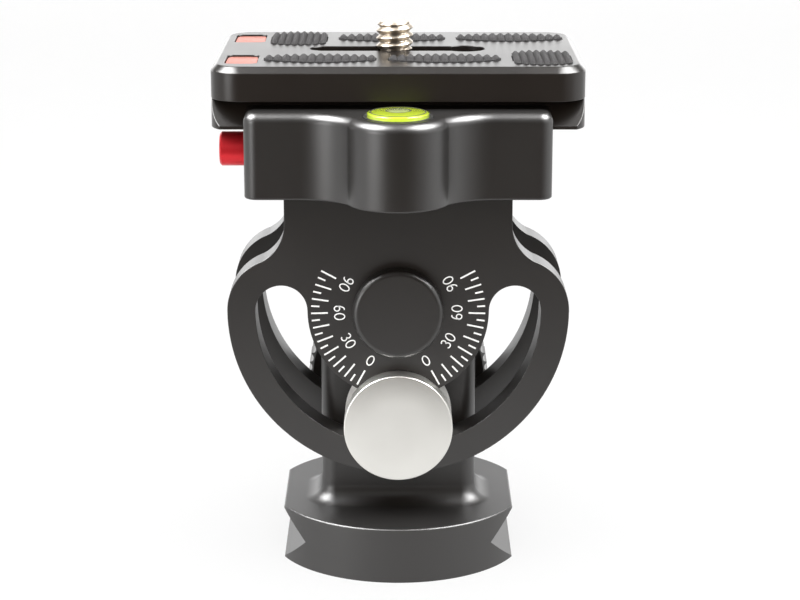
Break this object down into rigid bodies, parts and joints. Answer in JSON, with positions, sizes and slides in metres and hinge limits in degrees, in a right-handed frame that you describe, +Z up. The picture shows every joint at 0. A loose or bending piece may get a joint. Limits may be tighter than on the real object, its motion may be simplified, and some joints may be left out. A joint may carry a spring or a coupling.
{
  "type": "monopod tilt head",
  "caption": "Monopod tilt head: slotted cheeks swing on a post and are locked by a knurled knob; a dovetail clamp with level and safety button holds a quick-release camera plate.",
  "frame": {"origin": "middle of the base's underside, on the axis of the tripod thread", "axes": "+Z up along the thread's axis, +X along the camera plate, +Y from the level and scale at the front to the knobs at the back"},
  "size_m": [0.06, 0.074, 0.0911],
  "materials": {
    "anodised_black": "satin black anodised",
    "turned_silver": "fine turned",
    "steel": "machined",
    "brass": "machined",
    "rubber": "moulded ribs",
    "polymer": "moulded",
    "red_anodised": "red anodised",
    "red_plastic": "moulded",
    "vial": "clear tinted"
  },
  "bodies": {
    "base": {"base_post": "anodised_black", "thread_bush": "steel", "pivot_axle": "steel", "friction_washers": "polymer", "lock_bolt": "turned_silver", "slot_washers": "turned_silver"},
    "lock_washer": {"thrust_washer": "steel"},
    "lock_knob": {"lock_knob": "anodised_black", "lock_knob_insert": "brass", "lock_knob_cap": "anodised_black"},
    "head": {"front_cheek": "anodised_black", "rear_cheek": "anodised_black", "pivot_bushes": "brass", "pivot_cap_front": "anodised_black", "pivot_cap_rear": "anodised_black", "clamp_body": "anodised_black", "cheek_screws": "steel", "level_cup": "polymer", "level_vial": "vial", "clamp_stud": "steel", "jaw_guide_pins": "steel", "jaw_springs": "steel", "button_bush": "steel", "button_spring": "steel"},
    "clamp_jaw": {"clamp_jaw": "anodised_black", "jaw_washer": "steel"},
    "clamp_knob": {"clamp_knob": "anodised_black", "clamp_knob_insert": "brass", "clamp_knob_cap": "anodised_black"},
    "safety_button": {"safety_button": "red_anodised"},
    "safety_pin": {"safety_pin": "steel"},
    "plate": {"plate_body": "anodised_black", "narrow_pads": "rubber", "wide_pads": "rubber", "plate_inserts": "red_plastic"},
    "screw_carriage": {"screw_washer": "polymer"},
    "camera_screw": {"camera_screw": "steel"}
  },
  "joints": [
    {"name": "lock_washer_slide", "type": "slide", "parent": "base", "child": "lock_washer", "axis": [0, 1, 0], "range_m": [0, 0.00125]},
    {"name": "lock_knob_turn", "type": "hinge", "parent": "lock_washer", "child": "lock_knob", "pos_m": [0, 0.0126, 0.0257], "axis": [0, 1, 0], "range_deg": [0, 360]},
    {"name": "head_tilt", "type": "hinge", "parent": "base", "child": "head", "pos_m": [0, -0.0012, 0.045], "axis": [0, 1, 0], "range_deg": [-90, 90]},
    {"name": "jaw_slide", "type": "slide", "parent": "head", "child": "clamp_jaw", "axis": [0, 1, 0], "range_m": [0, 0.00375], "deforming": ["jaw_springs"]},
    {"name": "clamp_knob_turn", "type": "hinge", "parent": "clamp_jaw", "child": "clamp_knob", "pos_m": [0, 0.0277, 0.0709], "axis": [0, 1, 0], "range_deg": [0, 1080]},
    {"name": "button_press", "type": "slide", "parent": "head", "child": "safety_button", "axis": [1, 0, 0], "range_m": [0, 0.0025], "stiffness_N_per_m": 300, "springref_m": -0.002, "deforming": ["button_spring"]},
    {"name": "pin_drop", "type": "slide", "parent": "head", "child": "safety_pin", "axis": [0, 0, -1], "range_m": [0, 0.0016]},
    {"name": "plate_slide", "type": "slide", "parent": "head", "child": "plate", "axis": [1, 0, 0], "range_m": [-0.008, 0.008]},
    {"name": "screw_slide", "type": "slide", "parent": "plate", "child": "screw_carriage", "axis": [1, 0, 0], "range_m": [-0.0114, 0.009]},
    {"name": "screw_turn", "type": "hinge", "parent": "screw_carriage", "child": "camera_screw", "pos_m": [-0.0006, 0, 0.0865], "axis": [0, 0, 1], "continuous": true}
  ],
  "couplings": [
    {"joint": "lock_knob_turn", "follows": "lock_washer_slide", "rad_per_m": 5026.5},
    {"joint": "clamp_knob_turn", "follows": "jaw_slide", "rad_per_m": 5026.5},
    {"joint": "pin_drop", "follows": "button_press", "ratio": 0.6399}
  ]
}
